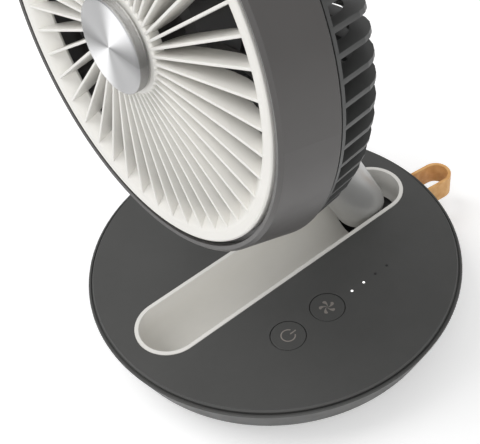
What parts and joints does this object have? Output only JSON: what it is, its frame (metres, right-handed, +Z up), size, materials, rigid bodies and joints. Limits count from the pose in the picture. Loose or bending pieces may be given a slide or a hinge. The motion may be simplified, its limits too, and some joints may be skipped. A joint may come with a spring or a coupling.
{
  "type": "portable camping fan",
  "caption": "Folding tabletop fan: round rechargeable base with a trough for the arm, a hinged arm and a tilting round head.",
  "frame": {"origin": "centre of the round underside, on the surface that the fan stands on", "axes": "+Z up, +Y along the trough to the hinge end, +X to the button side; the head faces -Y"},
  "size_m": [0.1996, 0.2202, 0.3037],
  "materials": {
    "base_grey": "satin moulded",
    "off_white": "satin moulded",
    "black_rubber": "matt",
    "dark_steel": "dark coated",
    "steel": "zinc plated",
    "nylon": "matt",
    "cell_wrap": "shrink wrapped",
    "black_plastic": "matt",
    "board_green": "solder mask",
    "lamp_white": "translucent",
    "lamp_dark": "translucent",
    "tan_leather": "smooth tan",
    "arm_grey": "satin moulded",
    "wire_black": "matt",
    "band_grey": "satin moulded",
    "spun_silver": "radially brushed",
    "guard_grey": "satin moulded",
    "lamination": "varnished",
    "copper_wire": "enamelled",
    "magnet_black": "matt",
    "impeller_grey": "satin moulded"
  },
  "bodies": {
    "base": {"base_shell": "base_grey", "base_cover": "base_grey", "trough_liner": "off_white", "non_slip_pad": "black_rubber", "hinge_bracket": "dark_steel", "bracket_screws": "steel", "fold_pin": "steel", "fold_pin_nut": "steel", "fold_washers": "nylon", "base_screws": "steel", "battery_cells": "cell_wrap", "battery_holder": "black_plastic", "control_board": "board_green", "board_screws": "steel", "tact_switches": "black_plastic", "lamps_lit": "lamp_white", "lamps_dark": "lamp_dark", "charging_socket": "steel", "socket_board": "board_green", "strap": "tan_leather", "strap_anchor": "black_plastic", "strap_pin": "steel"},
    "arm": {"arm_beam": "arm_grey", "arm_cover": "arm_grey", "arm_screws": "steel", "arm_wires": "wire_black"},
    "tilt_hinge": {"tilt_pin": "steel", "tilt_pin_nut": "steel", "tilt_washers": "nylon"},
    "rotor": {"impeller": "impeller_grey", "motor_can": "dark_steel", "motor_magnet": "magnet_black", "motor_shaft": "steel", "shaft_clip": "steel"},
    "power_button": {"power_button": "base_grey"},
    "speed_button": {"speed_button": "base_grey"},
    "head": {"front_grille": "off_white", "guard_screws": "steel", "head_band": "band_grey", "head_spine": "guard_grey", "hub_cap": "spun_silver", "motor_bearings": "steel", "motor_board": "board_green", "motor_mount": "black_plastic", "motor_screws": "steel", "motor_stator": "lamination", "motor_windings": "copper_wire", "rear_guard": "guard_grey", "spine_screws": "steel"}
  },
  "joints": [
    {"name": "arm_fold", "type": "hinge", "parent": "base", "child": "arm", "pos_m": [0, 0.06735, 0.021], "axis": [1, 0, 0], "range_deg": [0, 64.4]},
    {"name": "tilt_pin_turn", "type": "hinge", "parent": "arm", "child": "tilt_hinge", "pos_m": [0, 0.00837, 0.1441], "axis": [1, 0, 0], "range_deg": [-152, 0]},
    {"name": "head_tilt", "type": "hinge", "parent": "tilt_hinge", "child": "head", "pos_m": [0, 0.00837, 0.1441], "axis": [1, 0, 0], "range_deg": [-80, 8]},
    {"name": "fan_spin", "type": "hinge", "parent": "head", "child": "rotor", "pos_m": [0, -0.06057, 0.20649], "axis": [0, -0.9981, 0.061], "continuous": true},
    {"name": "power_press", "type": "slide", "parent": "base", "child": "power_button", "axis": [0, 0, -1], "range_m": [0, 0.001], "stiffness_N_per_m": 800, "springref_m": -0.001},
    {"name": "speed_press", "type": "slide", "parent": "base", "child": "speed_button", "axis": [0, 0, -1], "range_m": [0, 0.001], "stiffness_N_per_m": 800, "springref_m": -0.001}
  ],
  "couplings": [
    {"joint": "tilt_pin_turn", "follows": "arm_fold", "ratio": -2.3432}
  ]
}
